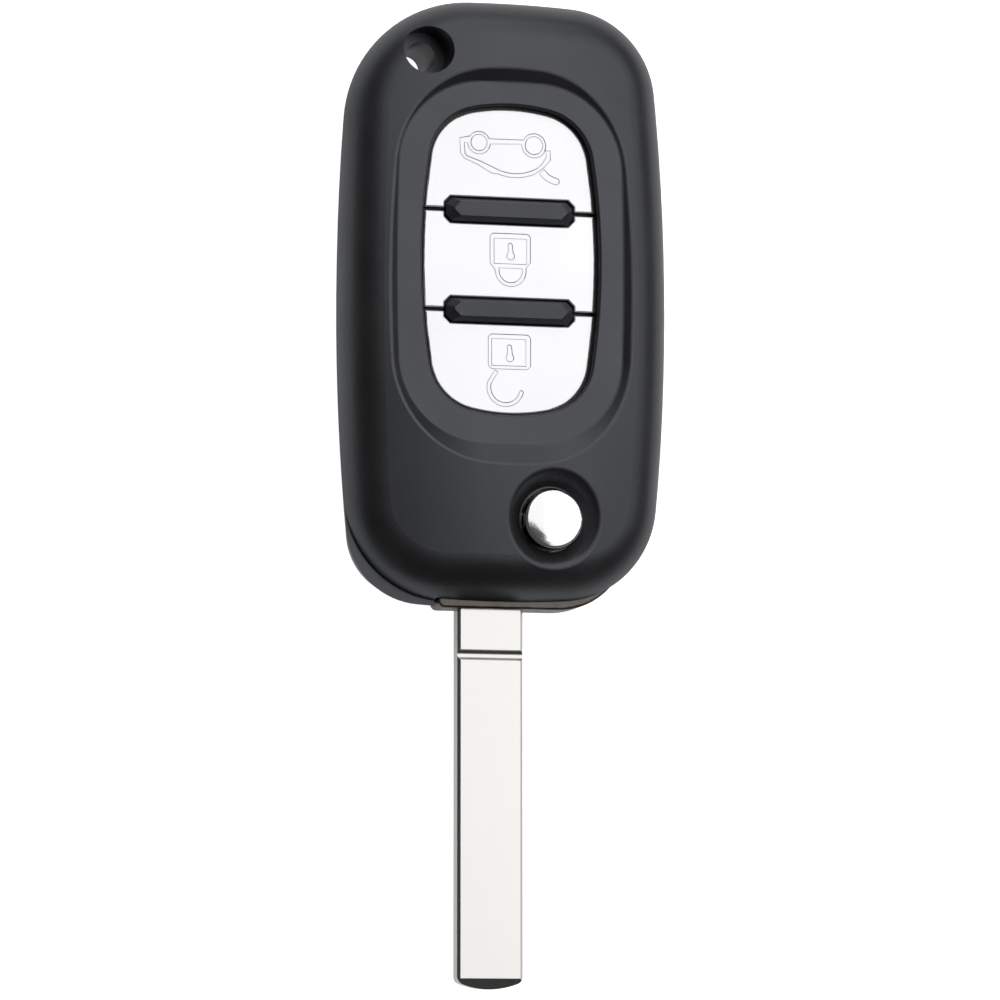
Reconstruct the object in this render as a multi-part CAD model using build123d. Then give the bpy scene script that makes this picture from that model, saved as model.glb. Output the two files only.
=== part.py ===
from build123d import *

import os
from math import asin, atan2, cos, degrees, hypot, radians, sin, tan

# A three-button key fob shell with a folding blade, shown with the blade swung out.
# Millimetres. The origin is the middle of the flat back, +X is to the right and +Y towards the
# key-ring end as the front is looked at, and +Z points out of the front.

# Housing outline at the parting plane
BODY_LENGTH = 74.0
BODY_WIDTH = 40.8
PARTING_Z = 8.9
SIDE_ARC = 295.0
END_ARC = 150.0
RING_CORNER_RADIUS = 16.0
TOP_CORNER_RADIUS = 11.3
BOTTOM_CORNER_RADIUS = 12.5
BACK_CORNER_RADIUS = 9.3
FRONT_SET_BACK = 0.6
DRAFT_ANGLE = 12.0
BACK_EDGE_RADIUS = 2.4

# Crowned front, whose peak the dish cuts away
CROWN_Z = 16.1
CROWN_SIDE_RADIUS = 70.0
CROWN_END_RADIUS = 300.0
FRONT_EDGE_RADIUS = 6.0

# Walls
FRONT_WALL = 1.6
DISH_ROOF = 1.4
REAR_WALL = 2.4
REAR_FLOOR = 1.4
LIP_HEIGHT = 1.2
LIP_STOP = 2.0
PARTING_FIT = 0.1

# Shallow flat dish round the keypad, with its outline at the height of its side walls
DISH_FROM_SIDE = 5.4
DISH_FROM_TOP = 9.6
DISH_FROM_BOTTOM = 18.4
DISH_DEPTH = 2.2
DISH_WALL_HEIGHT = 0.6
DISH_WALL_ANGLE = 60.0
DISH_SIDE_ARC = 370.0
DISH_END_ARC = 114.0
DISH_CORNER_RADIUS = 11.5
DISH_RIM_RADIUS = 0.6
DISH_FOOT_RADIUS = 0.6

# Keypad window, with its border in the dish
WINDOW_SIDE_BORDER = 4.0
WINDOW_TOP_BORDER = 3.9
WINDOW_BOTTOM_BORDER = 4.4
WINDOW_SIDE_ARC = 84.0
WINDOW_END_ARC = 22.0
WINDOW_CORNER_RADIUS = 6.8
WINDOW_RIM_RADIUS = 0.3

# Button caps and their travel
CAP_GAP = 0.35
CAP_SPLIT = 0.45
CAP_SINK = 1.0
CAP_THICKNESS = 1.0
CAP_FLANGE = 0.7
CAP_EDGE_RADIUS = 0.2
CAP_TRAVEL = 0.5
SEAT_GAP = 0.05

# Rubber keypad
BAR_OFFSETS = (6.05, -6.1)
BAR_END_BORDER = 3.2
BAR_WIDTH = 2.75
BAR_END_TAPER = 0.85
BAR_SIDE_TAPER = 0.525
BAR_CORNER = 0.75
BAR_RISE = 1.0
BAR_GAP = 0.25
MAT_SHEET = 0.5
MAT_RIM = 1.2
MAT_MARGIN = 2.6
DOME_RADIUS = 3.0
DOME_TOP_RADIUS = 1.9
PLUNGER_RADIUS = 1.3

# Inner frame
TRAY_THICKNESS = 0.9
TRAY_MARGIN = 0.6
TRAY_EAR_RADIUS = 1.8
TRAY_SCREW_FROM_SIDE = 5.0
TRAY_SCREW_OFFSETS = (10.0, -10.0)
SCREW_RADIUS = 0.7
SCREW_HEAD_RADIUS = 1.4
SCREW_HEAD_HEIGHT = 0.6
SCREW_LENGTH = 2.8
SCREW_HOLE_EXTRA = 0.3
SCREW_BOSS_RADIUS = 1.6
SCREW_FIT = 0.05
PLUNGER_GAP = 0.3

# Key-ring hole, narrower in the rear cover
RING_RADIUS = 3.0
RING_BACK_RADIUS = 1.8
RING_FROM_LEFT = 10.3
RING_FROM_TOP = 7.1
RING_TUBE_WALL = 1.6

# Pivot of the folding blade
PIVOT_FROM_RIGHT = 15.2
PIVOT_FROM_BOTTOM = 10.5
FUNNEL_RADIUS = 5.9
FUNNEL_DEPTH = 2.1
FUNNEL_RIM_RADIUS = 0.8
PIVOT_WEB_RADIUS = 8.8
RUNNING_FIT = 0.05
MOVING_GAP = 0.2
SWING_GAP = 0.3

# Blade
BLADE_MIDDLE_Z = 7.5
FOLDED_TIP_FROM_TOP = 7.6
BLADE_WIDTH = 8.05
BLADE_THICKNESS = 2.6
BLADE_OFFSET = 6.5
BLADE_CHAMFER = 0.35
BLADE_TIP_RADIUS = 9.5
BLADE_TIP_CORNER = 1.0
BLADE_TIP_BEVEL = 1.3
BLADE_TIP_LAND = 0.9
GROOVE_FROM_BODY = 5.5
GROOVE_WIDTH = 1.3
GROOVE_DEPTH = 0.35
TANG_WIDTH = 4.2
TANG_OFFSET = 8.0
TANG_SHOULDER = 3.5
TANG_LENGTH = 8.5
BLADE_PIN_DEPTH = 6.0
BLADE_PIN_RADIUS = 0.8
BLADE_PIN_BORE = 0.45
BLADE_PIN_SLIT = 0.3

# Metal hub, with sizes from the pivot
HUB_RADIUS = 7.3
HUB_BOTTOM_Z = 3.0
HUB_TOP_Z = 10.6
HEAD_THICKNESS = 4.6
HEAD_OVERHANG = 0.0
HEAD_LEFT = 13.2
HEAD_FLANGE_RADIUS = 0.8
HEAD_SHOULDER_RADIUS = 2.0
HEAD_SHOULDER_Y = 5.5
HEAD_RIGHT = 10.4
HEAD_RIGHT_RADIUS = 8.8
HEAD_EDGE_RADIUS = 0.3
JOURNAL_RADIUS = 6.6
JOURNAL_BORE = 5.4
JOURNAL_HEIGHT = 1.0
JOURNAL_ROOF_GAP = 0.3

# Release button
BUTTON_RADIUS = 3.55
BUTTON_TOP_GAP = 0.1
BUTTON_CROWN_RADIUS = 18.0
BUTTON_EDGE_RADIUS = 0.35
BUTTON_FIT = 0.08
BUTTON_HOLE_GAP = 0.3
BUTTON_FLANGE_RADIUS = 5.1
BUTTON_FLANGE_THICKNESS = 1.1
BUTTON_TRAVEL = 1.5
WING_REACH = 5.0
WING_WIDTH = 2.0
WING_HEIGHT = 1.8
WING_GAP = 0.1
HUB_STEP_Z = 7.7
GUIDE_RADIUS = 2.5
GUIDE_LENGTH = 2.2

# Spring and its cup
CUP_RADIUS = 5.2
CUP_WALL = 0.8
CUP_FLOOR = 0.8
CUP_FLANGE_RADIUS = 6.9
CUP_FLANGE_THICKNESS = 1.3
CUP_FLAT = 6.2
SPRING_RADIUS = 3.5
SPRING_WIRE = 0.6
SPRING_TURNS = 3.5
CUP_RING_WALL = 1.2

# Blade channel and snap hooks
CHANNEL_GAP = 0.3
PARTITION_WALL = 1.1
RIB_WIDTH = 1.0
REAR_RIB_PITCH = 8.5
REAR_RIB_COUNT = 5
FRONT_RIB_PITCH = 6.0
FRONT_RIB_COUNT = 3
HOOK_WIDTH = 5.0
HOOK_THICKNESS = 0.9
HOOK_RISE = 1.9
HOOK_BITE = 0.5
HOOK_HEIGHT = 0.9
HOOK_ROOT = 3.0
HOOK_FIT = 0.15
LEFT_HOOKS = (19.5, 0.0, -18.0)
TOP_HOOK_X = 3.0

# Places worked out from the sizes above
DISH_Z = CROWN_Z - DISH_DEPTH
ROOF_Z = DISH_Z - DISH_ROOF
CAP_TOP_Z = DISH_Z - CAP_SINK
CAP_LOW_Z = CAP_TOP_Z - CAP_THICKNESS
SHEET_TOP_Z = CAP_LOW_Z - CAP_TRAVEL
SHEET_LOW_Z = SHEET_TOP_Z - MAT_SHEET
TRAY_LOW_Z = SHEET_LOW_Z - TRAY_THICKNESS
DISH_WIDTH = BODY_WIDTH - 2 * DISH_FROM_SIDE
DISH_LENGTH = BODY_LENGTH - DISH_FROM_TOP - DISH_FROM_BOTTOM
DISH_Y = (DISH_FROM_BOTTOM - DISH_FROM_TOP) / 2
WINDOW_WIDTH = DISH_WIDTH - 2 * WINDOW_SIDE_BORDER
WINDOW_LENGTH = DISH_LENGTH - WINDOW_TOP_BORDER - WINDOW_BOTTOM_BORDER
WINDOW_Y = DISH_Y + (WINDOW_BOTTOM_BORDER - WINDOW_TOP_BORDER) / 2
BAR_LENGTH = WINDOW_WIDTH - 2 * BAR_END_BORDER
TRAY_SCREW_X = BODY_WIDTH / 2 - TRAY_SCREW_FROM_SIDE
RING_X = RING_FROM_LEFT - BODY_WIDTH / 2
RING_Y = BODY_LENGTH / 2 - RING_FROM_TOP
PIVOT_X = BODY_WIDTH / 2 - PIVOT_FROM_RIGHT
PIVOT_Y = PIVOT_FROM_BOTTOM - BODY_LENGTH / 2
MOUTH_Z = CROWN_Z - PIVOT_X**2 / (2 * CROWN_SIDE_RADIUS) - PIVOT_Y**2 / (2 * CROWN_END_RADIUS)
BLADE_LOW_Z = BLADE_MIDDLE_Z - BLADE_THICKNESS / 2
BLADE_HIGH_Z = BLADE_MIDDLE_Z + BLADE_THICKNESS / 2
HEAD_LOW_Z = BLADE_MIDDLE_Z - HEAD_THICKNESS / 2
HEAD_HIGH_Z = BLADE_MIDDLE_Z + HEAD_THICKNESS / 2
HEAD_BOTTOM = PIVOT_FROM_BOTTOM + HEAD_OVERHANG
BLADE_REACH = BODY_LENGTH - PIVOT_FROM_BOTTOM - FOLDED_TIP_FROM_TOP
JOURNAL_TOP_Z = HUB_TOP_Z + JOURNAL_HEIGHT
RECESS_Z = JOURNAL_TOP_Z + JOURNAL_ROOF_GAP
BUTTON_TOP_Z = MOUTH_Z - BUTTON_TOP_GAP
BUTTON_FLANGE_Z = HUB_STEP_Z - SEAT_GAP
FLANGE_LOW_Z = BUTTON_FLANGE_Z - BUTTON_FLANGE_THICKNESS
CUP_TOP_Z = FLANGE_LOW_Z - BUTTON_TRAVEL - MOVING_GAP
CHANNEL_INNER_X = PIVOT_X + BLADE_OFFSET - BLADE_WIDTH / 2 - CHANNEL_GAP
CHANNEL_END_Y = PIVOT_Y + BLADE_REACH + 2 * CHANNEL_GAP
CHANNEL_LOW_Z = BLADE_LOW_Z - CHANNEL_GAP
CHANNEL_HIGH_Z = BLADE_HIGH_Z + CHANNEL_GAP
FAR = 60.0


def pillow(size, arcs, corners, inset=0.0):
    """A face with four bulging sides and rounded corners, or a line inside it.

    size is its width and length, arcs the radii of its sides and ends, and corners the radii of
    its top left, top right, bottom left and bottom right corners.
    """
    width, length = size
    side, end = arcs
    sides = [
        Pos(side - width / 2, 0) * Circle(side - inset),
        Pos(width / 2 - side, 0) * Rot(0, 0, 180) * Circle(side - inset),
        Pos(0, length / 2 - end) * Rot(0, 0, 270) * Circle(end - inset),
        Pos(0, end - length / 2) * Rot(0, 0, 90) * Circle(end - inset),
    ]
    face = sides[0] & sides[1] & sides[2] & sides[3]
    for toward, radius in zip(((-1, 1), (1, 1), (-1, -1), (1, -1)), corners):
        outside = (toward[0] * width, toward[1] * length)
        face = fillet(face.vertices().sort_by_distance(outside)[0], radius - inset)
    return face


def front_face(inset):
    """A line inside the front cover's outline at the parting plane."""
    corners = (RING_CORNER_RADIUS, TOP_CORNER_RADIUS, BOTTOM_CORNER_RADIUS, BOTTOM_CORNER_RADIUS)
    size = (BODY_WIDTH, BODY_LENGTH - FRONT_SET_BACK)
    return Pos(0, FRONT_SET_BACK / 2) * pillow(size, (SIDE_ARC, END_ARC), corners, inset)


def back_face(inset):
    """A line inside the rear cover's outline at the parting plane."""
    corners = (RING_CORNER_RADIUS, TOP_CORNER_RADIUS, BACK_CORNER_RADIUS, BOTTOM_CORNER_RADIUS)
    return pillow((BODY_WIDTH, BODY_LENGTH), (SIDE_ARC, END_ARC), corners, inset)


def dish_face(inset):
    """A line inside the dish's rim."""
    corners = [DISH_CORNER_RADIUS] * 4
    face = pillow((DISH_WIDTH, DISH_LENGTH), (DISH_SIDE_ARC, DISH_END_ARC), corners, inset)
    return Pos(0, DISH_Y) * face


def window_face(growth=0.0):
    """The keypad window's outline, or a line round or inside it."""
    arcs = (WINDOW_SIDE_ARC, WINDOW_END_ARC)
    corners = [WINDOW_CORNER_RADIUS] * 4
    return Pos(0, WINDOW_Y) * pillow((WINDOW_WIDTH, WINDOW_LENGTH), arcs, corners, -growth)


def bar_face(bar_y, length, width, growth=0.0):
    """An octagonal bar outline."""
    x, y = length / 2 + growth, width / 2 + growth
    c = BAR_CORNER
    corners = [(x - c, y), (x, y - c), (x, c - y), (x - c, -y)]
    corners += [(c - x, -y), (-x, c - y), (-x, y - c), (c - x, y)]
    return Pos(0, bar_y) * make_face(Polyline(*corners, close=True))


def slab(face, low, high):
    """A flat outline raised between two heights."""
    return extrude(Pos(0, 0, low) * face, high - low, dir=(0, 0, 1))


def rod(x, y, radius, low, high):
    """An upright cylinder between two heights."""
    return Pos(x, y, (low + high) / 2) * Cylinder(radius, high - low)


def block(x_low, x_high, y_low, y_high, low, high):
    """An upright box between its limits."""
    middle = Pos((x_low + x_high) / 2, (y_low + y_high) / 2, (low + high) / 2)
    return middle * Box(x_high - x_low, y_high - y_low, high - low)


def drafted(outline, inset, z):
    """A cover's outline, or a line inside it, tapered from the parting plane to another height."""
    lean = abs(z - PARTING_Z) * tan(radians(DRAFT_ANGLE))
    start = Pos(0, 0, PARTING_Z) * outline(inset)
    return loft([start, Pos(0, 0, z) * outline(inset + lean)], ruled=True)


def crowned(inset):
    """The housing's front under its barrel-shaped crown, a line inside its outer surface."""
    peak = CROWN_Z - inset
    across = CROWN_SIDE_RADIUS - inset
    along = CROWN_END_RADIUS - inset
    section = (Pos(0, along - across) * Circle(across)) & (Pos(0, along) * Rectangle(2 * FAR, 2 * FAR))
    half_turn = degrees(asin(BODY_LENGTH / along))
    barrel = Rot(-half_turn, 0, 0) * revolve(Plane.XZ * section, Axis.X, 2 * half_turn)
    form = drafted(front_face, inset, peak) & Pos(0, 0, peak - along) * barrel
    top = form.faces().sort_by(Axis.Z)[-1]
    return form.fillet(FRONT_EDGE_RADIUS - inset, top.edges())


def at_pivot(face):
    """A face drawn from the pivot, put in its place."""
    return Pos(PIVOT_X, PIVOT_Y) * face


def head_face(growth=0.0):
    """Outline of the hub and its head, from the pivot, with the blade swung out."""
    shoulder = Pos(HEAD_SHOULDER_RADIUS - HEAD_LEFT, -HEAD_SHOULDER_Y)
    flange = Pos(HEAD_FLANGE_RADIUS - HEAD_LEFT, HEAD_FLANGE_RADIUS - HEAD_BOTTOM)
    right = Pos(HEAD_RIGHT - HEAD_RIGHT_RADIUS, HEAD_RIGHT_RADIUS - HEAD_BOTTOM)
    rounds = [
        Circle(HUB_RADIUS + growth),
        shoulder * Circle(HEAD_SHOULDER_RADIUS + growth),
        flange * Circle(HEAD_FLANGE_RADIUS + growth),
        right * Circle(HEAD_RIGHT_RADIUS + growth),
    ]
    return make_hull([edge for ring in rounds for edge in ring.edges()])


def sector_face(radius, start, sweep_angle):
    """A pie slice round the pivot, with angles in degrees from +X."""
    first = (radius * cos(radians(start)), radius * sin(radians(start)))
    end = start + sweep_angle
    last = (radius * cos(radians(end)), radius * sin(radians(end)))
    arc = CenterArc((0, 0), radius, start, sweep_angle)
    return make_face([Line((0, 0), first), arc, Line(last, (0, 0))])


def swing_space():
    """What the hub and its head sweep as the blade folds by half a turn, with its clearance."""
    flange_x = HEAD_FLANGE_RADIUS - HEAD_LEFT
    flange_y = HEAD_FLANGE_RADIUS - HEAD_BOTTOM
    right_x = HEAD_RIGHT - HEAD_RIGHT_RADIUS
    right_y = HEAD_RIGHT_RADIUS - HEAD_BOTTOM
    flange_reach = hypot(flange_x, flange_y) + HEAD_FLANGE_RADIUS + SWING_GAP
    right_reach = hypot(right_x, right_y) + HEAD_RIGHT_RADIUS + SWING_GAP
    flange_angle = degrees(atan2(flange_y, flange_x))
    right_angle = degrees(atan2(right_y, right_x))
    face = head_face(SWING_GAP) + Rot(0, 0, 180) * head_face(SWING_GAP)
    face += sector_face(flange_reach, flange_angle, 180)
    face += sector_face(right_reach, right_angle, 180)
    head = slab(at_pivot(face), HEAD_LOW_Z - MOVING_GAP, HEAD_HIGH_Z + MOVING_GAP)
    hub = rod(PIVOT_X, PIVOT_Y, HUB_RADIUS + SWING_GAP, HUB_BOTTOM_Z - MOVING_GAP, HUB_TOP_Z + MOVING_GAP)
    return head + hub


def channel_space():
    """The slot in the right side that takes the folded blade."""
    return block(CHANNEL_INNER_X, FAR, PIVOT_Y, CHANNEL_END_Y, CHANNEL_LOW_Z, CHANNEL_HIGH_Z)


def side_x(y):
    """Distance from the middle to the outline's side, at a place along the body."""
    return BODY_WIDTH / 2 - SIDE_ARC + (SIDE_ARC**2 - y**2) ** 0.5


def top_y(x):
    """Distance from the middle to the outline's top end, at a place across the body."""
    return BODY_LENGTH / 2 - END_ARC + (END_ARC**2 - x**2) ** 0.5


def hook_places():
    """Where the snap hooks stand: on the rear wall's inner line, turned to face outwards."""
    places = [Pos(REAR_WALL - side_x(y), y) * Rot(0, 0, 180) for y in LEFT_HOOKS]
    places.append(Pos(TOP_HOOK_X, top_y(TOP_HOOK_X) - REAR_WALL) * Rot(0, 0, 90))
    return places


def hook_form(width, growth=0.0):
    """A snap hook that faces +X, or the pocket that takes it, with the wall's inner line at X = 0."""
    high = PARTING_Z + HOOK_RISE
    catch = high - HOOK_HEIGHT - growth
    wall_x = REAR_WALL - FRONT_WALL - (catch - PARTING_Z) * tan(radians(DRAFT_ANGLE))
    nose = wall_x + HOOK_BITE + growth
    outline = Polyline(
        (-HOOK_THICKNESS, PARTING_Z - HOOK_ROOT),
        (0, PARTING_Z - HOOK_ROOT),
        (0, catch),
        (nose, catch),
        (nose, high + growth - 2 * HOOK_HEIGHT / 3),
        (0, high + growth),
        (-HOOK_THICKNESS, high + growth),
        close=True,
    )
    return extrude(Plane.XZ * make_face(outline), width / 2 + growth, both=True)


def ring_bore():
    """The key-ring hole through both covers."""
    return rod(RING_X, RING_Y, RING_RADIUS, PARTING_Z, CROWN_Z) + rod(
        RING_X, RING_Y, RING_BACK_RADIUS, -1, PARTING_Z
    )


def ring_tube(low, high, growth=0.0):
    """The tube round the key-ring hole."""
    return rod(RING_X, RING_Y, RING_RADIUS + RING_TUBE_WALL + growth, low, high)


def screw_places():
    """The four tray screws' places."""
    return [(x, WINDOW_Y + dy) for x in (-TRAY_SCREW_X, TRAY_SCREW_X) for dy in TRAY_SCREW_OFFSETS]


def screw_form(x, y, growth, extra):
    """A countersunk screw, or the hole that takes it."""
    low = TRAY_LOW_Z
    head = Pos(x, y, low + SCREW_HEAD_HEIGHT / 2) * Cone(
        SCREW_HEAD_RADIUS + growth, SCREW_RADIUS + growth, SCREW_HEAD_HEIGHT
    )
    return head + rod(x, y, SCREW_RADIUS + growth, low, low + SCREW_LENGTH + extra)


def channel_ribs(x_low, middle, pitch, count, low, high):
    """Cross ribs over or under the blade channel, from a line out to the side wall."""
    first = middle - pitch * (count - 1) / 2
    ribs = [first + pitch * i for i in range(count)]
    return Part() + [
        block(x_low, BODY_WIDTH / 2, y - RIB_WIDTH / 2, y + RIB_WIDTH / 2, low, high) for y in ribs
    ]


def front_cover():
    outer = crowned(0)
    body = outer - (crowned(FRONT_WALL) & block(-FAR, FAR, -FAR, FAR, PARTING_Z, ROOF_Z))

    inner = ring_tube(PARTING_Z, ROOF_Z + 1)
    inner += rod(PIVOT_X, PIVOT_Y, PIVOT_WEB_RADIUS, HUB_TOP_Z + MOVING_GAP, ROOF_Z + 1)
    for x, y in screw_places():
        inner += rod(x, y, SCREW_BOSS_RADIUS, SHEET_LOW_Z, ROOF_Z + 1)
    tray_edge = WINDOW_WIDTH / 2 + MAT_MARGIN + TRAY_MARGIN
    inner += channel_ribs(
        tray_edge + MOVING_GAP, WINDOW_Y, FRONT_RIB_PITCH, FRONT_RIB_COUNT, CHANNEL_HIGH_Z, ROOF_Z + 1
    )
    body += inner & outer

    hole = BUTTON_RADIUS + BUTTON_HOLE_GAP
    flare = (FUNNEL_RADIUS - hole) / FUNNEL_DEPTH
    upright = (PIVOT_X / CROWN_SIDE_RADIUS, PIVOT_Y / CROWN_END_RADIUS, 1)
    mouth = Plane((PIVOT_X, PIVOT_Y, MOUTH_Z), z_dir=upright)
    body -= mouth * Pos(0, 0, 0.5 - FUNNEL_DEPTH / 2) * Cone(hole, FUNNEL_RADIUS + flare, FUNNEL_DEPTH + 1)

    slope = tan(radians(DISH_WALL_ANGLE))
    dish_floor = Pos(0, 0, DISH_Z) * dish_face(DISH_WALL_HEIGHT * slope)
    dish_mouth = Pos(0, 0, CROWN_Z) * dish_face((DISH_WALL_HEIGHT - DISH_DEPTH) * slope)
    body -= loft([dish_floor, dish_mouth], ruled=True)
    crown = body.faces().filter_by(GeomType.TORUS).sort_by(SortBy.AREA)[-1]
    dish_rim = max(crown.inner_wires(), key=lambda wire: wire.length)
    body = body.fillet(DISH_RIM_RADIUS, dish_rim.edges())
    floor = body.faces().filter_by_position(Axis.Z, DISH_Z - 0.01, DISH_Z + 0.01)[0]
    body = body.fillet(DISH_FOOT_RADIUS, floor.outer_wire().edges())
    body -= slab(window_face(), ROOF_Z - 1, CROWN_Z)
    floor = body.faces().filter_by_position(Axis.Z, DISH_Z - 0.01, DISH_Z + 0.01)[0]
    body = body.fillet(WINDOW_RIM_RADIUS, floor.inner_wires()[0].edges())
    funnel = body.faces().filter_by(GeomType.CONE)[0]
    body = body.fillet(FUNNEL_RIM_RADIUS, funnel.edges().filter_by(GeomType.BSPLINE))
    body -= rod(PIVOT_X, PIVOT_Y, hole, PARTING_Z, CROWN_Z)
    body -= rod(PIVOT_X, PIVOT_Y, JOURNAL_RADIUS + RUNNING_FIT, PARTING_Z, RECESS_Z)
    body -= swing_space()
    body -= channel_space()
    body -= ring_bore()
    for x, y in screw_places():
        body -= screw_form(x, y, SCREW_FIT, SCREW_HOLE_EXTRA)
    for place in hook_places():
        body -= place * hook_form(HOOK_WIDTH, HOOK_FIT)
    return body


def rear_cover():
    outer = drafted(back_face, 0, 0)
    outer = fillet(outer.edges().group_by(Axis.Z)[0], BACK_EDGE_RADIUS)
    body = outer - drafted(front_face, REAR_WALL, REAR_FLOOR)

    partition_x = CHANNEL_INNER_X - PARTITION_WALL
    partition_y = PIVOT_Y + CUP_FLANGE_RADIUS
    partition_z = TRAY_LOW_Z - MOVING_GAP
    end_y = CHANNEL_END_Y + PARTITION_WALL
    inner = ring_tube(REAR_FLOOR / 2, PARTING_Z)
    inner += block(partition_x, CHANNEL_INNER_X, partition_y, CHANNEL_END_Y, REAR_FLOOR / 2, PARTING_Z)
    inner += block(partition_x, BODY_WIDTH / 2, CHANNEL_END_Y, end_y, REAR_FLOOR / 2, PARTING_Z)
    channel_middle = (PIVOT_Y + HEAD_BOTTOM + CHANNEL_END_Y) / 2
    inner += channel_ribs(
        CHANNEL_INNER_X, channel_middle, REAR_RIB_PITCH, REAR_RIB_COUNT, REAR_FLOOR / 2, CHANNEL_LOW_Z
    )
    ring_z = HUB_BOTTOM_Z - MOVING_GAP
    inner += rod(PIVOT_X, PIVOT_Y, CUP_FLANGE_RADIUS + CUP_RING_WALL, REAR_FLOOR / 2, ring_z)
    body += inner & outer
    body += block(partition_x, CHANNEL_INNER_X, partition_y, CHANNEL_END_Y, PARTING_Z - 1, partition_z)
    body -= slab(at_pivot(cup_flange_face(RUNNING_FIT)), REAR_FLOOR, PARTING_Z)

    lip_z = PARTING_Z + LIP_HEIGHT
    lip = crowned(FRONT_WALL + PARTING_FIT) & block(-FAR, FAR, -FAR, FAR, PARTING_Z, lip_z)
    lip -= drafted(front_face, REAR_WALL, lip_z) + ring_tube(PARTING_Z, lip_z, PARTING_FIT)
    lip -= block(PIVOT_X - HEAD_LEFT - LIP_STOP, FAR, -FAR, PIVOT_Y, PARTING_Z, lip_z)
    body += lip - Pos(0, 0, LIP_HEIGHT) * (swing_space() + channel_space())
    for place in hook_places():
        body += place * hook_form(HOOK_WIDTH)
    body -= swing_space()
    body -= channel_space()
    body -= ring_bore()
    return body


def keypad_mat():
    outline = window_face(MAT_MARGIN)
    mat = slab(outline, SHEET_LOW_Z, SHEET_TOP_Z)
    mat += slab(outline - window_face(MAT_MARGIN - MAT_RIM), SHEET_LOW_Z, ROOF_Z)
    for dy in BAR_OFFSETS:
        y = WINDOW_Y + dy
        base = bar_face(y, BAR_LENGTH, BAR_WIDTH)
        top = bar_face(y, BAR_LENGTH - 2 * BAR_END_TAPER, BAR_WIDTH - 2 * BAR_SIDE_TAPER)
        mat += slab(base, SHEET_LOW_Z, CAP_TOP_Z)
        mat += loft([Pos(0, 0, CAP_TOP_Z) * base, Pos(0, 0, CAP_TOP_Z + BAR_RISE) * top])
    for y in dome_ys():
        height = CAP_LOW_Z - SEAT_GAP - SHEET_TOP_Z
        shift = Pos(0, y, SHEET_TOP_Z + height / 2)
        mat += shift * Cone(DOME_RADIUS, DOME_TOP_RADIUS, height)
        mat -= Pos(0, 0, -MAT_SHEET) * shift * Cone(
            DOME_RADIUS - MAT_SHEET, DOME_TOP_RADIUS - MAT_SHEET, height
        )
        mat += rod(0, y, PLUNGER_RADIUS, TRAY_LOW_Z + MOVING_GAP, SHEET_TOP_Z)
    return mat


def cap_ranges():
    """The lowest and highest Y of each cap, from the key-ring end down."""
    upper, lower = (WINDOW_Y + dy for dy in BAR_OFFSETS)
    half = CAP_SPLIT / 2
    return [(upper + half, FAR), (lower + half, upper - half), (-FAR, lower - half)]


def dome_ys():
    """The middle of each cap, over its dome."""
    edge = WINDOW_LENGTH / 2
    ends = (WINDOW_Y - edge, WINDOW_Y + edge)
    return [(max(low, ends[0]) + min(high, ends[1])) / 2 for low, high in cap_ranges()]


def button_cap(low_y, high_y):
    """One silver cap: its face in the window, and the flange that holds it under the cover."""
    band = Pos(0, (low_y + high_y) / 2) * Rectangle(2 * FAR, high_y - low_y)
    bars = Sketch() + [bar_face(WINDOW_Y + dy, BAR_LENGTH, BAR_WIDTH, BAR_GAP) for dy in BAR_OFFSETS]
    cap = slab((window_face(-CAP_GAP) & band) - bars, CAP_LOW_Z, CAP_TOP_Z)
    cap = fillet(cap.edges().group_by(Axis.Z)[-1], CAP_EDGE_RADIUS)
    return cap + slab((window_face(CAP_FLANGE) & band) - bars, CAP_LOW_Z, ROOF_Z - SEAT_GAP)


def board_tray():
    face = window_face(MAT_MARGIN + TRAY_MARGIN)
    for x, y in screw_places():
        face += Pos(x, y) * Circle(TRAY_EAR_RADIUS) + Pos(x / 2, y) * Rectangle(abs(x), 2 * TRAY_EAR_RADIUS)
    face -= [Pos(0, y) * Circle(PLUNGER_RADIUS + PLUNGER_GAP) for y in dome_ys()]
    tray = slab(face, TRAY_LOW_Z, SHEET_LOW_Z)
    for x, y in screw_places():
        tray -= screw_form(x, y, SCREW_FIT, 0)
    return tray


def tray_screws():
    return Part() + [screw_form(x, y, 0, 0) for x, y in screw_places()]


def blade_hub():
    head = slab(at_pivot(head_face()), HEAD_LOW_Z, HEAD_HIGH_Z)
    head = fillet(head.edges().filter_by(Axis.Z, reverse=True), HEAD_EDGE_RADIUS)
    hub = head + rod(PIVOT_X, PIVOT_Y, HUB_RADIUS, HUB_BOTTOM_Z, HUB_TOP_Z)
    hub += rod(PIVOT_X, PIVOT_Y, JOURNAL_RADIUS, HUB_TOP_Z, JOURNAL_TOP_Z)
    hub -= rod(PIVOT_X, PIVOT_Y, JOURNAL_BORE, HUB_TOP_Z, JOURNAL_TOP_Z)
    hub -= rod(PIVOT_X, PIVOT_Y, CUP_RADIUS + RUNNING_FIT, HUB_BOTTOM_Z, HUB_STEP_Z)
    hub -= rod(PIVOT_X, PIVOT_Y, BUTTON_RADIUS + BUTTON_FIT, HUB_STEP_Z, HUB_TOP_Z)
    hub -= wing_form(WING_GAP, HUB_STEP_Z, HUB_TOP_Z)
    hub -= blade_pocket()
    return hub - blade_pin_hole()


def wing_form(growth, low, high):
    """The two lugs of the release button, or the slots that guide them."""
    x = WING_REACH + growth
    y = WING_WIDTH / 2 + growth
    return block(PIVOT_X - x, PIVOT_X + x, PIVOT_Y - y, PIVOT_Y + y, low, high)


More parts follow.
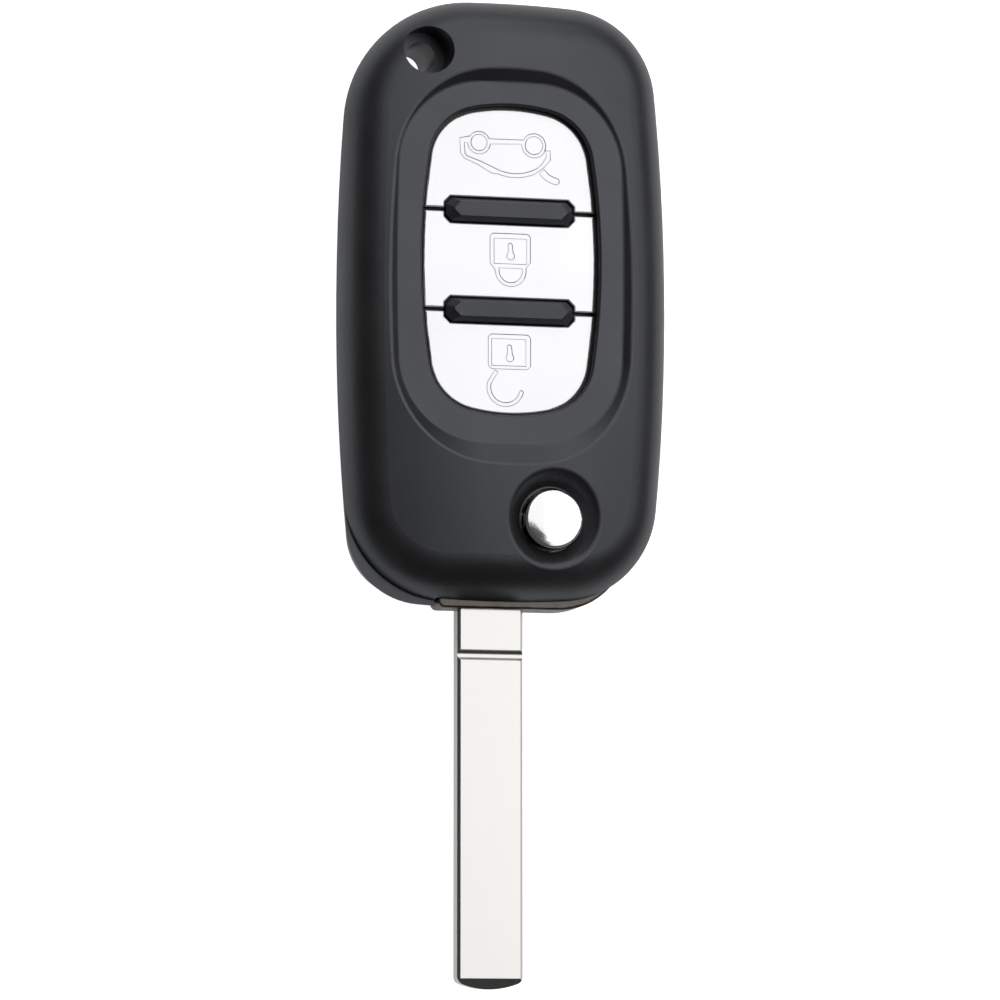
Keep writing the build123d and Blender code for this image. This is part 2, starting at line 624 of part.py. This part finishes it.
def blade_tang():
    """The narrow end of the blade inside the hub."""
    x = PIVOT_X - TANG_OFFSET
    root_y = PIVOT_Y - HEAD_BOTTOM
    return block(
        x - TANG_WIDTH / 2,
        x + TANG_WIDTH / 2,
        root_y + TANG_SHOULDER,
        root_y + TANG_LENGTH,
        BLADE_LOW_Z,
        BLADE_HIGH_Z,
    )


def blade_pocket():
    """The hollow in the hub's head that holds the blade's root and tang."""
    x = PIVOT_X - BLADE_OFFSET
    root_y = PIVOT_Y - HEAD_BOTTOM
    root = block(
        x - BLADE_WIDTH / 2,
        x + BLADE_WIDTH / 2,
        root_y - 1,
        root_y + TANG_SHOULDER,
        BLADE_LOW_Z,
        BLADE_HIGH_Z,
    )
    return root + blade_tang()


def blade_pin_hole():
    """The cross hole for the roll pin, through the hub's head and the blade's tang."""
    y = PIVOT_Y - HEAD_BOTTOM + BLADE_PIN_DEPTH
    return rod(PIVOT_X - TANG_OFFSET, y, BLADE_PIN_RADIUS, HEAD_LOW_Z - 1, HEAD_HIGH_Z + 1)


def key_blade():
    x = PIVOT_X - BLADE_OFFSET
    tip_y = PIVOT_Y - BLADE_REACH
    shoulder_y = PIVOT_Y - HEAD_BOTTOM + TANG_SHOULDER
    length = shoulder_y - tip_y

    section = Rectangle(BLADE_WIDTH, BLADE_THICKNESS)
    section = chamfer(section.vertices(), BLADE_CHAMFER)
    across = Plane(origin=(x, shoulder_y, BLADE_MIDDLE_Z), x_dir=(1, 0, 0), z_dir=(0, -1, 0))
    body = extrude(across * section, length)

    plan = Pos(0, length / 2) * Rectangle(BLADE_WIDTH, length)
    plan &= Pos(0, BLADE_TIP_RADIUS) * Circle(BLADE_TIP_RADIUS) + Pos(0, length) * Rectangle(
        2 * BLADE_WIDTH, 2 * length - 2 * BLADE_TIP_RADIUS
    )
    plan = fillet(plan.vertices().sort_by(Axis.Y)[:2], BLADE_TIP_CORNER)
    body &= slab(Pos(x, tip_y) * plan, BLADE_LOW_Z, BLADE_HIGH_Z)

    side = Polyline(
        (tip_y, BLADE_MIDDLE_Z - BLADE_TIP_LAND / 2),
        (tip_y, BLADE_MIDDLE_Z + BLADE_TIP_LAND / 2),
        (tip_y + BLADE_TIP_BEVEL, BLADE_HIGH_Z),
        (PIVOT_Y, BLADE_HIGH_Z),
        (PIVOT_Y, BLADE_LOW_Z),
        (tip_y + BLADE_TIP_BEVEL, BLADE_LOW_Z),
        close=True,
    )
    body &= Pos(x, 0, 0) * extrude(Plane.YZ * make_face(side), BLADE_WIDTH, both=True)

    radius = (GROOVE_WIDTH**2 / 4 + GROOVE_DEPTH**2) / (2 * GROOVE_DEPTH)
    groove_y = -BODY_LENGTH / 2 - GROOVE_FROM_BODY
    lift = BLADE_THICKNESS / 2 + radius - GROOVE_DEPTH
    for z in (BLADE_MIDDLE_Z - lift, BLADE_MIDDLE_Z + lift):
        body -= Pos(x, groove_y, z) * Rot(0, 90, 0) * Cylinder(radius, 2 * BLADE_WIDTH)
    return body + blade_tang() - blade_pin_hole()


def blade_pin():
    x = PIVOT_X - TANG_OFFSET
    y = PIVOT_Y - HEAD_BOTTOM + BLADE_PIN_DEPTH
    pin = rod(x, y, BLADE_PIN_RADIUS, HEAD_LOW_Z, HEAD_HIGH_Z)
    pin -= rod(x, y, BLADE_PIN_BORE, HEAD_LOW_Z, HEAD_HIGH_Z)
    half = BLADE_PIN_SLIT / 2
    return pin - block(x, x + 2 * BLADE_PIN_RADIUS, y - half, y + half, HEAD_LOW_Z, HEAD_HIGH_Z)


def release_button():
    button = rod(PIVOT_X, PIVOT_Y, BUTTON_RADIUS, BUTTON_FLANGE_Z, BUTTON_TOP_Z)
    button &= Pos(PIVOT_X, PIVOT_Y, BUTTON_TOP_Z - BUTTON_CROWN_RADIUS) * Sphere(BUTTON_CROWN_RADIUS)
    rings = button.edges().filter_by(GeomType.CIRCLE).filter_by(lambda e: e.radius < BUTTON_RADIUS + 1)
    button = fillet(rings.sort_by(Axis.Z)[-1], BUTTON_EDGE_RADIUS)
    button += rod(PIVOT_X, PIVOT_Y, BUTTON_FLANGE_RADIUS, FLANGE_LOW_Z, BUTTON_FLANGE_Z)
    button += rod(PIVOT_X, PIVOT_Y, GUIDE_RADIUS, FLANGE_LOW_Z - GUIDE_LENGTH, FLANGE_LOW_Z)
    wing_top = JOURNAL_TOP_Z - MOVING_GAP
    return button + wing_form(0, wing_top - WING_HEIGHT, wing_top)


def cup_flange_face(growth=0.0):
    """Outline of the cup's keyed flange, a disc with two flats."""
    radius = CUP_FLANGE_RADIUS + growth
    return Circle(radius) & Rectangle(2 * (CUP_FLAT + growth), 2 * radius)


def spring_cup():
    cup = slab(at_pivot(cup_flange_face()), REAR_FLOOR, REAR_FLOOR + CUP_FLANGE_THICKNESS)
    cup += rod(PIVOT_X, PIVOT_Y, CUP_RADIUS, REAR_FLOOR, CUP_TOP_Z)
    return cup - rod(PIVOT_X, PIVOT_Y, CUP_RADIUS - CUP_WALL, REAR_FLOOR + CUP_FLOOR, CUP_TOP_Z)


def flip_spring():
    low = REAR_FLOOR + CUP_FLOOR + SEAT_GAP + SPRING_WIRE / 2
    high = FLANGE_LOW_Z - SEAT_GAP - SPRING_WIRE / 2
    path = Helix((high - low) / SPRING_TURNS, high - low, SPRING_RADIUS)
    start = Plane(origin=path @ 0, z_dir=path % 0)
    return Pos(PIVOT_X, PIVOT_Y, low) * sweep(start * Circle(SPRING_WIRE / 2), path, is_frenet=True)


def main():
    os.makedirs("parts", exist_ok=True)
    boot_range, lock_range, unlock_range = cap_ranges()
    pieces = {
        "front_cover": front_cover(),
        "rear_cover": rear_cover(),
        "keypad_mat": keypad_mat(),
        "boot_button": button_cap(*boot_range),
        "lock_button": button_cap(*lock_range),
        "unlock_button": button_cap(*unlock_range),
        "board_tray": board_tray(),
        "tray_screws": tray_screws(),
        "blade_hub": blade_hub(),
        "key_blade": key_blade(),
        "blade_pin": blade_pin(),
        "release_button": release_button(),
        "spring_cup": spring_cup(),
        "flip_spring": flip_spring(),
    }
    for name, piece in pieces.items():
        export_step(piece, f"parts/{name}.step")


main()
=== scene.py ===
from math import atan2, cos, degrees, pi, radians, sin

import bmesh
import bpy
from mathutils import Matrix, Vector


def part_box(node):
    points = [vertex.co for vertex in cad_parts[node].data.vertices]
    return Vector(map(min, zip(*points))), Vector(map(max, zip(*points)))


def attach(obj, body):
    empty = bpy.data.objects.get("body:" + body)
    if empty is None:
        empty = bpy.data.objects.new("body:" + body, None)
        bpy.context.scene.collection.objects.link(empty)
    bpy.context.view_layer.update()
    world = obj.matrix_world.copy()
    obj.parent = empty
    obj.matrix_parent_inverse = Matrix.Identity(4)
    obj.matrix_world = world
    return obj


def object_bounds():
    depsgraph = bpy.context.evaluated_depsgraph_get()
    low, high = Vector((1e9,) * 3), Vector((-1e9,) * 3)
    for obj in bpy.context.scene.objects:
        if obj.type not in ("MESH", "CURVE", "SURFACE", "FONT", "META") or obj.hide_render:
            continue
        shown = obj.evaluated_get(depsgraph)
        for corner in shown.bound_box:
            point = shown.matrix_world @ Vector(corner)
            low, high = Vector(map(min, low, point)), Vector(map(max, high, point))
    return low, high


# Looks of the key fob shell. Metres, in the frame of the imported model: +X is to the right,
# +Y towards the key-ring end and +Z out of the front.
MM = 0.001

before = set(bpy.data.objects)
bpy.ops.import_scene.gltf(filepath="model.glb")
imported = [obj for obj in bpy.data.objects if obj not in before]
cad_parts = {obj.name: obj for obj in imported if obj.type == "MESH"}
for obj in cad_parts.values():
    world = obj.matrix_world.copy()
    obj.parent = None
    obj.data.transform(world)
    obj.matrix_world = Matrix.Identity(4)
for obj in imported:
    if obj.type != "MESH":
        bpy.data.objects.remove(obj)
cad_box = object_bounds()

# Camera
CAMERA_FROM = (-0.25, -0.12, 1.0)
CAMERA_DISTANCE = 620 * MM
CAMERA_TARGET = (0.055 * MM, -23.68 * MM, 8.0 * MM)
CAMERA_LENS = 185.3

# White surroundings: a floor just clear of the flat back, with its own glow as the camera and as
# shiny surfaces see it
FLOOR_SIZE = 3.0
FLOOR_GAP = 0.05 * MM
FLOOR_GLOW_SEEN = 1.0
FLOOR_GLOW_MIRRORED = 0.42
FLOOR_PAINT = (0.8, 0.8, 0.8)
WORLD_LIGHT = 0.06

# Level softboxes over the object: two corners, brightness of the surface and turn about the middle
BOX_HEIGHT = 0.8
SOFTBOXES = {
    "top_box": ((0.12, -0.16), (0.42, 0.9), 1.65, 0),
    "side_box": ((0.42, -0.16), (1.4, 0.9), 1.15, 0),
    "back_box": ((-0.5, 0.3), (0.12, 1.1), 1.2, 0),
    "far_box": ((-0.6, 1.2), (0.9, 3.0), 1.8, 0),
    "diagonal_strip": ((-0.05, -0.31), (0.25, 0.49), 1.0, 45),
}

# Part of a noise's range that is spread over a tone or a roughness
NOISE_MIDDLE = (0.3, 0.7)

# Colours of the dark plastics between which their tone drifts, and of what they mirror
COVER_DARK = (0.01, 0.0095, 0.009)
COVER_LIGHT = (0.014, 0.0135, 0.013)
INNER_DARK = (0.02, 0.02, 0.021)
INNER_LIGHT = (0.03, 0.03, 0.031)
RUBBER_DARK = (0.02, 0.02, 0.022)
RUBBER_LIGHT = (0.026, 0.026, 0.028)
SHEEN_TINT = (0.86, 0.9, 1.0)

# Colours of the coated and the metal pieces
SILVER_DARK = (0.84, 0.84, 0.86)
SILVER_LIGHT = (0.9, 0.9, 0.92)
CAP_PLASTIC = (0.02, 0.018, 0.016)
CHROME = (0.9, 0.9, 0.91)
NICKEL_DARK = (0.555, 0.545, 0.53)
NICKEL_LIGHT = (0.585, 0.575, 0.56)
CASTING_DARK = (0.075, 0.066, 0.058)
CASTING_LIGHT = (0.14, 0.128, 0.118)
STEEL = (0.55, 0.55, 0.55)

# The caps' silver coating: its lowest place, how softly it ends there and how metallic it is
COAT_LOW_Z = 12.62 * MM
COAT_FADE = 0.02 * MM
COAT_METAL = 0.7

# Icons, in millimetres: their centres and the flat strips drawn along the two edges of their shallow
# grooves, with painted shade on the strips that face the shaded side and a lighter painted tone on the
# others
BOOT_ICON = (-0.1, 17.5)
LOCK_ICON = (0.1, 5.9)
UNLOCK_ICON = (0.0, -6.35)
GROOVE_WIDTH = 0.46
LID_GROOVE_WIDTH = 0.8
EDGE_WIDTH = 0.1
EDGE_LIFT = 0.004 * MM
SHADED_SIDE = (-0.7, -0.7)
SHADED_LIMIT = 0.25
# Painted shade and a lighter painted tone of the groove walls, in place of the light on real walls
GROOVE_SHADED = (0.13, 0.13, 0.14)
GROOVE_LIT = (0.58, 0.58, 0.6)


def add_camera():
    back = Vector(CAMERA_FROM).normalized()
    right = Vector((0, 1, 0)).cross(back).normalized()
    up = back.cross(right)
    data = bpy.data.cameras.new("camera")
    data.lens = CAMERA_LENS
    camera = bpy.data.objects.new("camera", data)
    bpy.context.scene.collection.objects.link(camera)
    turn = Matrix((right, up, back)).transposed().to_4x4()
    camera.matrix_world = Matrix.Translation(Vector(CAMERA_TARGET) + back * CAMERA_DISTANCE) @ turn
    bpy.context.scene.camera = camera


def add_softbox(name, low, high, brightness, turn):
    data = bpy.data.lights.new(name, "AREA")
    data.shape = "RECTANGLE"
    data.size = high[0] - low[0]
    data.size_y = high[1] - low[1]
    data.energy = pi * data.size * data.size_y * brightness
    lamp = bpy.data.objects.new(name, data)
    lamp.location = ((low[0] + high[0]) / 2, (low[1] + high[1]) / 2, BOX_HEIGHT)
    lamp.rotation_euler = (0, 0, radians(turn))
    bpy.context.scene.collection.objects.link(lamp)


def new_material(name):
    material = bpy.data.materials.new(name)
    material.use_nodes = True
    nodes = material.node_tree.nodes
    return material, nodes, material.node_tree.links, nodes["Principled BSDF"]


def object_noise(nodes, links, scale, detail=2.0, stretch=(1, 1, 1)):
    """A noise texture fixed to the piece, with its size given in grains per metre."""
    place = nodes.new("ShaderNodeTexCoord")
    mapping = nodes.new("ShaderNodeMapping")
    mapping.inputs["Scale"].default_value = stretch
    noise = nodes.new("ShaderNodeTexNoise")
    noise.inputs["Scale"].default_value = scale
    noise.inputs["Detail"].default_value = detail
    links.new(place.outputs["Object"], mapping.inputs["Vector"])
    links.new(mapping.outputs["Vector"], noise.inputs["Vector"])
    return noise.outputs["Fac"]


def remap(nodes, links, value, low, high):
    """Spreads the middle of a noise over a range."""
    spread = nodes.new("ShaderNodeMapRange")
    spread.inputs["From Min"].default_value = NOISE_MIDDLE[0]
    spread.inputs["From Max"].default_value = NOISE_MIDDLE[1]
    spread.inputs["To Min"].default_value = low
    spread.inputs["To Max"].default_value = high
    links.new(value, spread.inputs["Value"])
    return spread.outputs["Result"]


def color_between(nodes, links, value, first, second):
    """A colour that runs from one to the other with a value from 0 to 1."""
    mix = nodes.new("ShaderNodeMix")
    mix.data_type = "RGBA"
    mix.inputs["A"].default_value = (*first, 1)
    mix.inputs["B"].default_value = (*second, 1)
    links.new(value, mix.inputs["Factor"])
    return mix.outputs["Result"]


def add_tone(nodes, links, shader, noise, dark, light):
    """Lets the colour drift with a noise."""
    tone = remap(nodes, links, noise, 0, 1)
    links.new(color_between(nodes, links, tone, dark, light), shader.inputs["Base Color"])


def add_roughness(nodes, links, shader, noise, low, high):
    """Lets the roughness drift with a noise."""
    links.new(remap(nodes, links, noise, low, high), shader.inputs["Roughness"])


def add_bump(nodes, links, shader, height, strength, distance):
    bump = nodes.new("ShaderNodeBump")
    bump.inputs["Strength"].default_value = strength
    bump.inputs["Distance"].default_value = distance
    links.new(height, bump.inputs["Height"])
    links.new(bump.outputs["Normal"], shader.inputs["Normal"])


def grained_plastic(name, dark, light, rough, grain, bump, sheen=0.5):
    """Moulded plastic or rubber with a fine spark-eroded grain and slight handling marks."""
    material, nodes, links, shader = new_material(name)
    shader.inputs["Specular IOR Level"].default_value = sheen
    shader.inputs["Specular Tint"].default_value = (*SHEEN_TINT, 1)
    cloud = object_noise(nodes, links, 160, 4)
    add_tone(nodes, links, shader, cloud, dark, light)
    add_roughness(nodes, links, shader, cloud, *rough)
    add_bump(nodes, links, shader, object_noise(nodes, links, grain, 3), bump, 0.02 * MM)
    return material


def silver_coat():
    """The caps: dark plastic with a satin silver-white coating on the face."""
    material, nodes, links, shader = new_material("silver_coat")
    coated = nodes.new("ShaderNodeMapRange")
    coated.inputs["From Min"].default_value = COAT_LOW_Z - COAT_FADE
    coated.inputs["From Max"].default_value = COAT_LOW_Z + COAT_FADE
    place = nodes.new("ShaderNodeTexCoord")
    height = nodes.new("ShaderNodeSeparateXYZ")
    links.new(place.outputs["Object"], height.inputs["Vector"])
    links.new(height.outputs["Z"], coated.inputs["Value"])
    cloud = object_noise(nodes, links, 90, 3)
    tone = remap(nodes, links, cloud, 0, 1)
    silver = color_between(nodes, links, tone, SILVER_DARK, SILVER_LIGHT)
    body = nodes.new("ShaderNodeMix")
    body.data_type = "RGBA"
    body.inputs["A"].default_value = (*CAP_PLASTIC, 1)
    links.new(coated.outputs["Result"], body.inputs["Factor"])
    links.new(silver, body.inputs["B"])
    links.new(body.outputs["Result"], shader.inputs["Base Color"])
    metal = nodes.new("ShaderNodeMath")
    metal.operation = "MULTIPLY"
    metal.inputs[1].default_value = COAT_METAL
    links.new(coated.outputs["Result"], metal.inputs[0])
    links.new(metal.outputs["Value"], shader.inputs["Metallic"])
    add_roughness(nodes, links, shader, cloud, 0.34, 0.42)
    add_bump(nodes, links, shader, object_noise(nodes, links, 9000, 2), 0.12, 0.01 * MM)
    return material


def painted_groove_tone(name, color):
    """Painted shade or a lighter painted tone for one wall of an icon's groove, given as the colour of a
    flat strip.
    """
    material, nodes, links, shader = new_material(name)
    low = tuple(0.9 * part for part in color)
    add_tone(nodes, links, shader, object_noise(nodes, links, 900, 3), low, color)
    shader.inputs["Roughness"].default_value = 0.5
    return material


def chrome_plate():
    """Bright plating with a fine orange peel."""
    material, nodes, links, shader = new_material("chrome_plate")
    shader.inputs["Metallic"].default_value = 1.0
    shader.inputs["Base Color"].default_value = (*CHROME, 1)
    peel = object_noise(nodes, links, 5200, 3)
    add_roughness(nodes, links, shader, peel, 0.04, 0.12)
    add_bump(nodes, links, shader, peel, 0.25, 0.014 * MM)
    return material


def nickel_plate():
    """Polished plating with faint lines along the blade."""
    material, nodes, links, shader = new_material("nickel_plate")
    shader.inputs["Metallic"].default_value = 1.0
    lines = object_noise(nodes, links, 900, 3, (6, 0.12, 6))
    add_tone(nodes, links, shader, lines, NICKEL_DARK, NICKEL_LIGHT)
    add_roughness(nodes, links, shader, lines, 0.19, 0.24)
    add_bump(nodes, links, shader, lines, 0.03, 0.01 * MM)
    return material


def cast_metal():
    """The hub's dark plated casting."""
    material, nodes, links, shader = new_material("cast_metal")
    shader.inputs["Metallic"].default_value = 1.0
    cloud = object_noise(nodes, links, 700, 5)
    add_tone(nodes, links, shader, cloud, CASTING_DARK, CASTING_LIGHT)
    add_roughness(nodes, links, shader, cloud, 0.28, 0.45)
    add_bump(nodes, links, shader, object_noise(nodes, links, 2500, 3), 0.25, 0.02 * MM)
    return material


def bright_steel():
    """Plain steel of the screws, the pin and the spring."""
    material, nodes, links, shader = new_material("bright_steel")
    shader.inputs["Metallic"].default_value = 1.0
    shader.inputs["Base Color"].default_value = (*STEEL, 1)
    add_roughness(nodes, links, shader, object_noise(nodes, links, 2000, 3), 0.25, 0.4)
    return material


def white_floor():
    """A pale floor that shows white, but keeps the object's shadow."""
    material, nodes, links, shader = new_material("white_floor")
    shader.inputs["Base Color"].default_value = (*FLOOR_PAINT, 1)
    shader.inputs["Roughness"].default_value = 0.9
    shader.inputs["Specular IOR Level"].default_value = 0.0
    path = nodes.new("ShaderNodeLightPath")
    mirrored = nodes.new("ShaderNodeMath")
    mirrored.operation = "MULTIPLY"
    mirrored.inputs[1].default_value = FLOOR_GLOW_MIRRORED
    links.new(path.outputs["Is Glossy Ray"], mirrored.inputs[0])
    strength = nodes.new("ShaderNodeMath")
    strength.operation = "MULTIPLY_ADD"
    strength.inputs[1].default_value = FLOOR_GLOW_SEEN
    links.new(path.outputs["Is Camera Ray"], strength.inputs[0])
    links.new(mirrored.outputs["Value"], strength.inputs[2])
    glow = nodes.new("ShaderNodeEmission")
    links.new(strength.outputs["Value"], glow.inputs["Strength"])
    both = nodes.new("ShaderNodeAddShader")
    links.new(shader.outputs["BSDF"], both.inputs[0])
    links.new(glow.outputs["Emission"], both.inputs[1])
    links.new(both.outputs["Shader"], nodes["Material Output"].inputs["Surface"])
    return material


def add_floor():
    mesh = bpy.data.meshes.new("floor")
    half = FLOOR_SIZE / 2
    z = cad_box[0].z - FLOOR_GAP
    corners = [(-half, -half, z), (half, -half, z), (half, half, z), (-half, half, z)]
    mesh.from_pydata(corners, [], [(0, 1, 2, 3)])
    floor = bpy.data.objects.new("floor", mesh)
    bpy.context.scene.collection.objects.link(floor)
    mesh.materials.append(white_floor())


def set_world():
    world = bpy.data.worlds.new("studio")
    bpy.context.scene.world = world
    world.use_nodes = True
    world.node_tree.nodes["Background"].inputs["Color"].default_value = (1, 1, 1, 1)
    world.node_tree.nodes["Background"].inputs["Strength"].default_value = WORLD_LIGHT


def line(*points):
    return [Vector(point) for point in points]


def arc(center, radius, start, sweep, steps=24):
    """Points along an arc, with angles in degrees from +X."""
    angles = [radians(start + sweep * i / steps) for i in range(steps + 1)]
    return [Vector((center[0] + radius * cos(a), center[1] + radius * sin(a))) for a in angles]


def groove_edge(points, width):
    """The closed edge of a groove along a line, with the groove on the left of its travel."""
    sides = ([], [])
    for i, point in enumerate(points):
        along = (points[min(i + 1, len(points) - 1)] - points[max(i - 1, 0)]).normalized()
        across = Vector((-along.y, along.x)) * width / 2
        sides[0].append(point - across)
        sides[1].append(point + across)
    heading = (points[-1] - points[-2]).normalized()
    turned = degrees(atan2(heading.y, heading.x))
    return sides[0] + arc(points[-1], width / 2, turned - 90, 180, 10)[1:-1] + sides[1][::-1]


def keyhole(x, y):
    return arc((x, y + 0.68), 0.26, 0, 180, 10) + arc((x + 0.05, y - 0.62), 0.48, 130, 280, 20)


def lock_edges(x, y):
    """A closed padlock, with its body above its shackle."""
    outer = line((x + 2.5, y - 1.4)) + arc((x + 1.95, y + 1.55), 0.55, 0, 90, 8)
    outer += arc((x - 1.95, y + 1.55), 0.55, 90, 90, 8) + line((x - 2.5, y - 1.5), (x - 2.1, y - 2.05))
    outer += arc((x + 0.06, y - 2.42), 1.9, 180, 180) + line((x + 1.96, y - 2.0))
    body = line((x - 2.0, y - 1.58), (x - 2.0, y + 1.5), (x + 2.04, y + 1.5), (x + 2.04, y - 1.58))
    shackle = line((x - 1.38, y - 2.1), (x + 1.5, y - 2.1)) + arc((x + 0.06, y - 2.42), 1.44, 0, -180)
    return [outer, body, shackle, keyhole(x, y)]


def unlock_edges(x, y):
    """A padlock with its shackle swung open."""
    outer = line((x - 2.2, y - 2.1), (x + 2.2, y - 2.1), (x + 2.62, y - 1.7))
    outer += arc((x + 2.07, y + 1.55), 0.55, 0, 90, 8) + arc((x - 2.07, y + 1.55), 0.55, 90, 90, 8)
    outer += line((x - 2.62, y - 1.7))
    body = line((x - 2.2, y - 1.7), (x - 2.2, y + 1.55), (x + 2.03, y + 1.55), (x + 2.03, y - 1.7))
    hook = line((x - 1.6, y - 2.35)) + arc((x - 0.5, y - 4.35), 2.05, 163, 182)
    return [outer, body, groove_edge(hook, GROOVE_WIDTH), keyhole(x, y - 0.1)]


def boot_edges(x, y):
    """A car seen from the side, wheels up, with its boot lid open."""
    left, right = (x - 3.67, y + 1.47), (x + 3.16, y + 1.39)
    outer = arc(right, 1.45, -25, 180) + arc(left, 1.35, 22, 125)
    outer += line((x - 6.05, y + 1.95), (x - 5.95, y + 0.1), (x - 5.45, y - 0.55), (x - 3.85, y - 1.2))
    outer += line((x - 2.1, y - 2.2)) + arc((x + 0.75, y + 3.4), 6.03, -110, 45, 14)
    outer += line((x + 4.4, y - 1.25), (x + 5.2, y - 0.3), (x + 5.15, y + 0.85))
    body = line((x - 5.4, y + 0.05), (x - 5.5, y + 1.4)) + arc(left, 1.4, 185, 170)
    body += line((x + 1.6, y + 1.5)) + arc(right, 1.5, 190, 155)
    body += line((x + 4.75, y + 0.1), (x + 4.1, y - 0.9)) + arc((x + 0.75, y + 3.4), 5.55, -60, -58, 14)
    body += line((x - 3.6, y - 0.75), (x - 5.1, y - 0.25))
    lid = line((x + 4.1, y - 1.75), (x + 4.75, y - 2.4), (x + 5.4, y - 2.75), (x + 5.9, y - 2.9))
    wheels = [arc(left, 1.0, 360, -345), arc(right, 1.1, 360, -345)]
    return [outer, body, *wheels, groove_edge(lid, LID_GROOVE_WIDTH)]


def icon(node, edges, painted_shade_wall, painted_lit_wall):
    """Draws an icon's groove edges on a cap as flat strips: painted shade on the sides turned from the
    light, a lighter painted tone on the others.
    """
    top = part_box(node)[1].z + EDGE_LIFT
    shape = bmesh.new()
    shaded = Vector(SHADED_SIDE)
    for points in edges:
        count = len(points)
        along = [(points[(i + 1) % count] - point).normalized() for i, point in enumerate(points)]
        facing = [Vector((-step.y, step.x)) for step in along]
        middle = [(facing[i - 1] + facing[i]).normalized() for i in range(count)]
        rings = [
            [shape.verts.new((*(point + middle[i] * offset) * MM, top)) for i, point in enumerate(points)]
            for offset in (-EDGE_WIDTH / 2, EDGE_WIDTH / 2)
        ]
        for i in range(count):
            j = (i + 1) % count
            face = shape.faces.new((rings[0][i], rings[0][j], rings[1][j], rings[1][i]))
            # Painted shade where the strip faces the shaded side, a lighter painted tone elsewhere
            face.material_index = 0 if facing[i].dot(shaded) > SHADED_LIMIT else 1
    mesh = bpy.data.meshes.new(node + "_icon")
    shape.to_mesh(mesh)
    shape.free()
    mesh.materials.append(painted_shade_wall)
    mesh.materials.append(painted_lit_wall)
    drawn = bpy.data.objects.new(node + "_icon", mesh)
    bpy.context.scene.collection.objects.link(drawn)
    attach(drawn, node)


def dress(node, material):
    """Gives a carried-over piece its finish."""
    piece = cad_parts[node]
    piece.data.materials.clear()
    piece.data.materials.append(material)


add_camera()
set_world()
add_floor()
for name, placing in SOFTBOXES.items():
    add_softbox(name, *placing)

cover = grained_plastic("cover_grain", COVER_DARK, COVER_LIGHT, (0.38, 0.44), 5200, 0.3, 0.9)
inner = grained_plastic("inner_grain", INNER_DARK, INNER_LIGHT, (0.45, 0.6), 3000, 0.3)
rubber = grained_plastic("rubber_skin", RUBBER_DARK, RUBBER_LIGHT, (0.45, 0.55), 4000, 0.3, 0.9)
silver = silver_coat()
steel = bright_steel()

for node in ("front_cover", "rear_cover"):
    dress(node, cover)
for node in ("board_tray", "spring_cup"):
    dress(node, inner)
dress("keypad_mat", rubber)
for node in ("boot_button", "lock_button", "unlock_button"):
    dress(node, silver)
for node in ("tray_screws", "blade_pin", "flip_spring"):
    dress(node, steel)
dress("release_button", chrome_plate())
dress("key_blade", nickel_plate())
dress("blade_hub", cast_metal())

# Painted shade and a lighter painted tone for the two walls of the icons' grooves
painted_groove_walls = (painted_groove_tone("icon_painted_shade", GROOVE_SHADED), painted_groove_tone("icon_painted_highlight", GROOVE_LIT))
icon("boot_button", boot_edges(*BOOT_ICON), *painted_groove_walls)
icon("lock_button", lock_edges(*LOCK_ICON), *painted_groove_walls)
icon("unlock_button", unlock_edges(*UNLOCK_ICON), *painted_groove_walls)

bpy.context.scene.view_settings.view_transform = "Standard"
